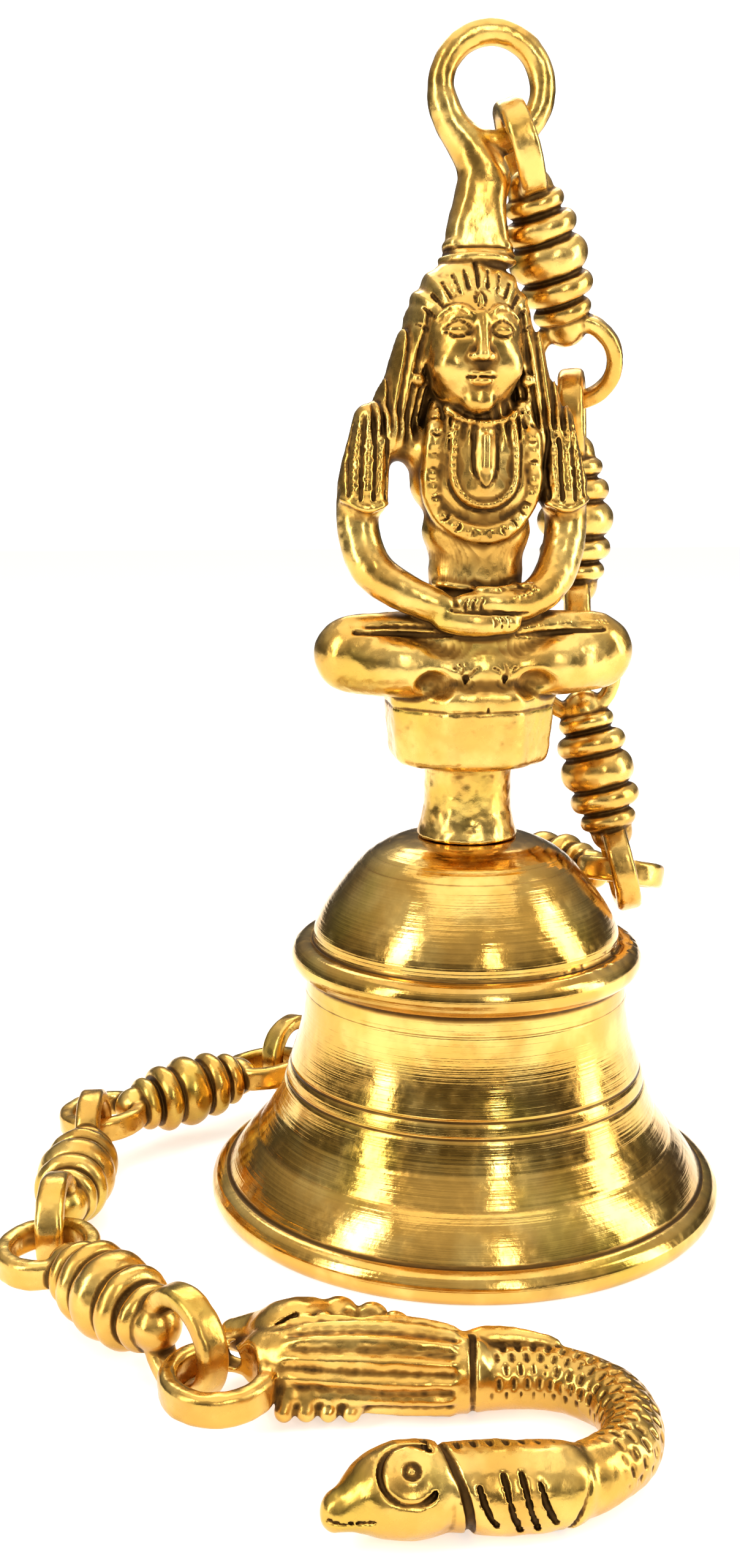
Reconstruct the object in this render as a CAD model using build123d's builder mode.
"""Brass puja bell with a cast seated-figure handle, a clapper, a beaded chain and a bird-headed hook.

The origin is the centre of the rim's resting plane, +Z runs up the bell's axis and the figure faces -Y.
"""

import os
from math import cos, radians, sin

from build123d import *

os.makedirs("parts", exist_ok=True)
FROM_BELOW = (Align.CENTER, Align.CENTER, Align.MIN)

# ---- driving dimensions, mm ----
RIM_R = 50.0  # bell mouth
WALL = 3.0  # bell wall at the waist
WAIST_R = 31.0  # narrowest outside radius, under the shoulder bead
BEAD_R = 34.0  # shoulder bead, outside
BEAD_Z = 48.0
DOME_R = 29.6  # dome where it leaves the bead
CROWN_Z = 71.2  # flat seat for the handle
CROWN_UNDER_Z = 67.4  # inside of the crown
NECK_R = 9.7

PEDESTAL_LOW_Z, PEDESTAL_TOP_Z = 85.4, 100.5
PEDESTAL_LOW_R, PEDESTAL_TOP_R = 15.6, 17.2  # across the corners of the octagon
PEDESTAL_TOP_ROUND = 0.8
FIGURE_Y = -5.0  # middle of the figure's body, in front of the bell's axis
KNEE_X, KNEE_TIP_X, KNEE_R = 23.2, 30.2, 6.9
LAP_Z = 106.5
THIGH_R, SHIN_R = 6.4, 4.6
SHOULDER_X, SHOULDER_Z = 16.5, 146.0
ELBOW_X, ELBOW_Z = 18.3, 127.0
HAND_Z = 115.5
ARM_R = 3.9
ARMLET_R = 4.4
TRUNK = (  # level, half width, half depth
    (104.0, 12.0, 10.0),
    (113.0, 12.5, 9.5),
    (122.0, 8.8, 7.0),
    (134.0, 12.2, 8.2),
    (145.0, 14.5, 7.6),
    (151.0, 7.0, 6.5),
)
NECK_LOW_Z, FIGURE_NECK_R, FIGURE_NECK_LENGTH = 149.0, 6.2, 8.0
HEAD_R, HEAD_HALF_HEIGHT, HEAD_Z = 10.6, 12.5, 164.0
HAIR_R, HAIR_HALF_HEIGHT, HAIR_Z = 12.7, 14.5, 161.5
HEAD_Y, HAIR_Y = FIGURE_Y - 0.6, FIGURE_Y + 1.6
STEM = (  # level, middle x and y, half width, half depth
    (170.0, 0.4, -2.6, 7.6, 7.2),
    (179.5, 0.2, -1.0, 6.2, 5.4),
    (191.0, 1.5, 0.0, 4.2, 3.6),
)
CROOK = ((2.2, 0, 188.5), (1.0, 0, 194.0), (-3.0, 0, 198.6))  # from the stem into the loop
CROOK_R = 3.3
LOOP_X, LOOP_Z, LOOP_R, LOOP_WIRE_R = 3.0, 206.0, 9.2, 2.35

BORE_R, BORE_TOP_Z = 2.55, 82.0  # threaded hole up the handle's neck
SHANK_R = 2.5  # eyebolt
EYE_Z, EYE_R, EYE_WIRE_R = 58.5, 4.0, 1.25
SWIVEL_R, SWIVEL_WIRE_R = 3.6, 1.2  # eye on top of the clapper's rod
SWIVEL_SLACK = 0.15  # free play between the two eyes
CLAPPER_ROD_R = 1.6
CLAPPER_BALL_R, CLAPPER_BALL_Z = 8.0, 14.5

RING_R = 7.4  # chain ring, to the middle of its strap
STRAP_THICK, STRAP_WIDE, STRAP_ROUND = 3.2, 5.0, 1.2
RING_OFFSET = 19.5  # ring centres from the middle of a link
LINK_CORE_R, LINK_CORE_HALF = 4.4, 12.6
BEADS = ((0.0, 7.4, 3.7), (5.6, 6.95, 2.2), (9.9, 5.6, 1.8))  # offset, radius, half thickness

# How each link lies: middle x, y, z, heading in plan, dip below level, roll of its first and last ring.
LINK_LAY = (
    (15.0, 4.5, 178.0, 30, 67, 125, 50),
    (23.0, 11.0, 130.5, 11, 87, 119, 115),
    (28.0, 8.0, 81.5, 327, 75, -16, 67),
    (23.0, 29.0, 57.5, 128, 5, 106, 134),
    (10.0, 60.0, 31.5, 103, 65, 46, 133),
    (-15.0, 60.0, 13.0, 224, 5, 84, 6),
    (-53.5, 31.0, 10.0, 206, 3, 96, 92),
    (-75.5, -7.0, 9.5, 262, 0, 2, 2),
    (-68.5, -52.5, 9.1, 304, 0, 93, 0),
)

HOOK_EYE = (-52.8, -75.7, 6.4)
HOOK_BAR_R = 4.7
HOOK_BAR_Z = 5.4
HOOK_BAR = (  # x, y along the bar, from the eye round the bend to the tail
    (-45.0, -75.9),
    (-28.0, -76.5),
    (-16.0, -78.5),
    (-3.0, -80.5),
    (4.6, -88.5),
    (3.0, -99.5),
    (-8.0, -106.0),
    (-22.0, -104.0),
)
HOOK_HEAD_START, HOOK_HEAD_END = (-44.5, -71.0), (-15.5, -78.5)  # crown end and collar end
HOOK_HEAD_R = 7.0
HOOK_BEAK_TIP, HOOK_BEAK_ROOT, HOOK_BEAK_R = (-51.0, -60.0), (-29.0, -70.0), 4.8
TAIL_HEAD_START, TAIL_HEAD_END = (-39.5, -106.0), (-17.0, -104.0)
TAIL_HEAD_R = 6.6


def spindle(start, end, radius):
    """A solid of revolution with an elliptical outline, drawn out from start to end."""
    axis = Vector(*end) - Vector(*start)
    middle = Vector(*start) + axis * 0.5
    side = axis.cross(Vector(0, 0, 1) if abs(axis.normalized().Z) < 0.9 else Vector(0, 1, 0))
    lengthwise = Plane(origin=middle, x_dir=axis, z_dir=side)
    with BuildPart() as body:
        with BuildSketch(lengthwise):
            with BuildLine():
                outline = EllipticalCenterArc((0, 0), axis.length / 2, radius, 0, arc_size=180)
                Line(outline @ 1, outline @ 0)
            make_face()
        revolve(axis=Axis(middle, axis))
    return body.part


def limb(points, radius):
    """A round bar along a smooth line through the points."""
    with BuildPart() as bar:
        with BuildLine() as route:
            Spline(*points)
        with BuildSketch(Plane(origin=route.line @ 0, z_dir=route.line % 0)):
            Circle(radius)
        sweep(path=route.line)
    return bar.part


def ring(centre, normal, middle_r, thick, wide, rounding):
    """A strap bent into a ring: a rounded rectangle turned about the ring's axis."""
    across = Vector(0, 0, 1).cross(normal) if abs(normal.Z) < 0.9 else Vector(1, 0, 0)
    section = Plane(origin=centre, x_dir=across, z_dir=across.cross(normal))
    with BuildPart() as hoop:
        with BuildSketch(section):
            with Locations((middle_r, 0)):
                RectangleRounded(thick, wide, rounding)
        revolve(axis=Axis(centre, normal))
    return hoop.part


# ---- bell body: turned outside and inside, open at the mouth ----
with BuildPart() as bell_body:
    with BuildSketch(Plane.XZ):
        with BuildLine():
            lip = ThreePointArc((RIM_R - 1.0, 0), (RIM_R, 2.0), (46.9, 5.4))
            foot = ThreePointArc((46.6, 5.4), (44.2, 9.0), (41.0, 12.9))
            Line(lip @ 1, foot @ 0)
            waist = Spline(
                (40.7, 12.9), (36.9, 19.0), (34.6, 26.0), (32.0, 35.0), (WAIST_R, 44.8),
                tangents=((-0.62, 0.78), (0, 1)),
            )
            Line(foot @ 1, waist @ 0)
            bead = ThreePointArc(waist @ 1, (BEAD_R, BEAD_Z), (DOME_R, 51.2))
            dome = Spline(
                (DOME_R, 51.2), (25.9, 59.6), (19.9, 66.8), (NECK_R + 0.6, CROWN_Z),
                tangents=((0, 1), (-0.95, 0.3)),
            )
            seat = Line(dome @ 1, (SHANK_R + 0.2, CROWN_Z))
            hole = Line(seat @ 1, (SHANK_R + 0.2, CROWN_UNDER_Z))
            under = Line(hole @ 1, (9.0, CROWN_UNDER_Z))
            inner_dome = Spline(
                under @ 1, (17.6, 63.6), (23.6, 56.8), (26.4, 50.0), tangents=((0.95, -0.3), (0.1, -1))
            )
            inner = Spline(
                inner_dome @ 1, (WAIST_R - WALL, 42.0), (30.6, 27.0), (35.6, 14.5), (45.4, 1.2),
                tangents=((0.1, -1), (0.72, -0.7)),
            )
            Line(inner @ 1, (46.0, 0))
            Line((46.0, 0), lip @ 0)
        make_face()
    revolve(axis=Axis.Z)
bell_body.part.label = "bell_body"

# ---- figure handle: one casting of neck, pedestal, seated figure, stem and top loop ----
with BuildPart() as figure_handle:
    with BuildSketch(Plane.XZ):
        with BuildLine():
            Polyline((0, CROWN_Z), (NECK_R, CROWN_Z), (9.1, 73.4))
            ThreePointArc((9.1, 73.4), (8.3, 79.5), (9.0, PEDESTAL_LOW_Z + 1.0))
            Polyline((9.0, PEDESTAL_LOW_Z + 1.0), (0, PEDESTAL_LOW_Z + 1.0), (0, CROWN_Z))
        make_face()
    revolve(axis=Axis.Z)
    with BuildSketch(Plane.XY.offset(PEDESTAL_LOW_Z)):
        RegularPolygon(PEDESTAL_LOW_R, 8, rotation=22.5)
    with BuildSketch(Plane.XY.offset(PEDESTAL_TOP_Z)):
        RegularPolygon(PEDESTAL_TOP_R, 8, rotation=22.5)
    loft()
    fillet(figure_handle.edges().group_by(Axis.Z)[-1], PEDESTAL_TOP_ROUND)
    for side in (-1, 1):
        thigh = (
            (side * 5, -1, LAP_Z + 2),
            (side * 15, -4, LAP_Z + 1),
            (side * (KNEE_X - 1), FIGURE_Y, LAP_Z),
        )
        shin = (
            (side * KNEE_X, FIGURE_Y, LAP_Z - 0.8),
            (side * 12, -10, LAP_Z - 1.5),
            (side * 2, -12, LAP_Z - 2.7),
        )
        add(limb(thigh, THIGH_R))
        knee_start, knee_tip = (side * (KNEE_X - 9), FIGURE_Y, LAP_Z), (side * KNEE_TIP_X, FIGURE_Y, LAP_Z)
        add(spindle(knee_start, knee_tip, KNEE_R + 0.15))
        add(limb(shin, SHIN_R))
        add(
            limb(
                (
                    (side * SHOULDER_X, FIGURE_Y, SHOULDER_Z),
                    (side * (ELBOW_X + 1.2), FIGURE_Y, 136.0),
                    (side * ELBOW_X, FIGURE_Y - 2, ELBOW_Z),
                    (side * 11, FIGURE_Y - 6, 118.5),
                    (side * 2, FIGURE_Y - 7.5, HAND_Z),
                ),
                ARM_R,
            )
        )
        armlet_top = (side * (SHOULDER_X + 0.5), FIGURE_Y, SHOULDER_Z + 6)
        armlet_foot = (side * (ELBOW_X + 0.3), FIGURE_Y - 1.5, ELBOW_Z + 7.5)
        add(spindle(armlet_top, armlet_foot, ARMLET_R))
    for z, half_x, half_y in TRUNK:
        with BuildSketch(Plane.XY.offset(z)):
            with Locations((0, FIGURE_Y)):
                Ellipse(half_x, half_y)
    loft()
    with BuildSketch(Plane.XY.offset(NECK_LOW_Z)):
        with Locations((0, FIGURE_Y)):
            Circle(FIGURE_NECK_R)
    extrude(amount=FIGURE_NECK_LENGTH)
    add(spindle((0, HEAD_Y, HEAD_Z - HEAD_HALF_HEIGHT), (0, HEAD_Y, HEAD_Z + HEAD_HALF_HEIGHT), HEAD_R))
    add(spindle((0, HAIR_Y, HAIR_Z - HAIR_HALF_HEIGHT), (0, HAIR_Y, HAIR_Z + HAIR_HALF_HEIGHT), HAIR_R))
    for z, x, y, half_x, half_y in STEM:
        with BuildSketch(Plane.XY.offset(z)):
            with Locations((x, y)):
                Ellipse(half_x, half_y)
    loft()
    add(limb(CROOK, CROOK_R))
    with Locations((LOOP_X, 0, LOOP_Z)):
        Torus(LOOP_R, LOOP_WIRE_R, rotation=(90, 0, 0))
    with Locations(Plane.XY.offset(CROWN_Z)):
        Cylinder(BORE_R, BORE_TOP_Z - CROWN_Z, align=FROM_BELOW, mode=Mode.SUBTRACT)
figure_handle.part.label = "figure_handle"

# ---- crown washer, under the inside of the crown ----
WASHER_R, WASHER_THICK = 7.0, 1.2
with BuildPart() as crown_washer:
    with BuildSketch(Plane.XY.offset(CROWN_UNDER_Z - WASHER_THICK)):
        Circle(WASHER_R)
        Circle(SHANK_R + 0.2, mode=Mode.SUBTRACT)
    extrude(amount=WASHER_THICK)
crown_washer.part.label = "crown_washer"

# ---- eyebolt: shank up through the crown into the handle, collar under the washer, eye below ----
COLLAR_R, COLLAR_THICK = 4.4, 2.2
with BuildPart() as clapper_eyebolt:
    collar_top = CROWN_UNDER_Z - WASHER_THICK
    with BuildSketch(Plane.XY.offset(collar_top - COLLAR_THICK)):
        RegularPolygon(COLLAR_R, 6)
    extrude(amount=COLLAR_THICK)
    shank_foot = EYE_Z + EYE_R - 0.6
    with BuildSketch(Plane.XY.offset(shank_foot)):
        Circle(SHANK_R)
    extrude(amount=BORE_TOP_Z - 1.5 - shank_foot)
    with Locations((0, 0, EYE_Z)):
        Torus(EYE_R, EYE_WIRE_R, rotation=(90, 0, 0))
clapper_eyebolt.part.label = "clapper_eyebolt"

# ---- clapper: rod with its own eye through the bolt's eye, and a ball riveted on its foot ----
PIVOT_Z = EYE_Z - EYE_R
SWIVEL_Z = PIVOT_Z + EYE_WIRE_R + SWIVEL_WIRE_R + SWIVEL_SLACK - SWIVEL_R
ROD_FOOT_Z = CLAPPER_BALL_Z - CLAPPER_BALL_R - 1.0
with BuildPart() as clapper_rod:
    with Locations((0, 0, SWIVEL_Z)):
        Torus(SWIVEL_R, SWIVEL_WIRE_R, rotation=(0, 90, 0))
    with BuildSketch(Plane.XY.offset(ROD_FOOT_Z)):
        Circle(CLAPPER_ROD_R)
    extrude(amount=SWIVEL_Z - SWIVEL_R - ROD_FOOT_Z)
clapper_rod.part.label = "clapper_rod"

with BuildPart() as clapper_ball:
    with Locations((0, 0, CLAPPER_BALL_Z)):
        Sphere(CLAPPER_BALL_R)
    with Locations(Plane.XY.offset(ROD_FOOT_Z)):
        Cylinder(CLAPPER_ROD_R, 3 * CLAPPER_BALL_R, align=FROM_BELOW, mode=Mode.SUBTRACT)
clapper_ball.part.label = "clapper_ball"

# ---- chain links: a row of turned beads between two rings ----


def link_frame(lay):
    """A plane at the link's middle, its z along the link and its x level."""
    x, y, z, heading, dip = lay[:5]
    turn, fall = radians(heading), radians(dip)
    along = Vector(cos(turn) * cos(fall), sin(turn) * cos(fall), -sin(fall))
    level = Vector(-sin(turn), cos(turn), 0)
    return Plane(origin=(x, y, z), x_dir=level, z_dir=along)


def make_link(lay, label):
    first_roll, last_roll = lay[5:]
    with BuildPart() as link:
        with BuildSketch(Plane.XZ):
            Rectangle(LINK_CORE_R, 2 * LINK_CORE_HALF, align=(Align.MIN, Align.CENTER))
            for offset_z, radius, half in BEADS:
                for place in {offset_z, -offset_z}:
                    with Locations((0, place)):
                        Rectangle(radius - half, 2 * half, align=(Align.MIN, Align.CENTER))
                    with Locations((radius - half, place)):
                        Circle(half)
        revolve(axis=Axis.Z)
        for place, roll in ((-RING_OFFSET, first_roll), (RING_OFFSET, last_roll)):
            normal = Vector(cos(radians(roll)), sin(radians(roll)), 0)
            add(ring(Vector(0, 0, place), normal, RING_R, STRAP_THICK, STRAP_WIDE, STRAP_ROUND))
    placed = link.part.moved(link_frame(lay).location)
    placed.label = label
    return placed


chain_links = [make_link(lay, f"chain_link_{number}") for number, lay in enumerate(LINK_LAY, start=1)]

# ---- hook: a flat-lying bird-headed hook with an eye for the last link ----
with BuildPart() as hook:
    add(ring(Vector(*HOOK_EYE), Vector(0, 0, 1), RING_R, STRAP_THICK, STRAP_WIDE, STRAP_ROUND))
    add(limb([(x, y, HOOK_BAR_Z) for x, y in HOOK_BAR], HOOK_BAR_R))
    add(spindle((*HOOK_HEAD_START, HOOK_HEAD_R + 0.2), (*HOOK_HEAD_END, HOOK_HEAD_R + 0.2), HOOK_HEAD_R))
    add(spindle((*HOOK_BEAK_TIP, HOOK_HEAD_R), (*HOOK_BEAK_ROOT, HOOK_HEAD_R), HOOK_BEAK_R))
    add(spindle((*TAIL_HEAD_START, TAIL_HEAD_R + 0.1), (*TAIL_HEAD_END, TAIL_HEAD_R + 0.1), TAIL_HEAD_R))
hook.part.label = "hook"

for piece in (bell_body, figure_handle, crown_washer, clapper_eyebolt, clapper_rod, clapper_ball, hook):
    export_step(piece.part, f"parts/{piece.part.label}.step")
for piece in chain_links:
    export_step(piece, f"parts/{piece.label}.step")
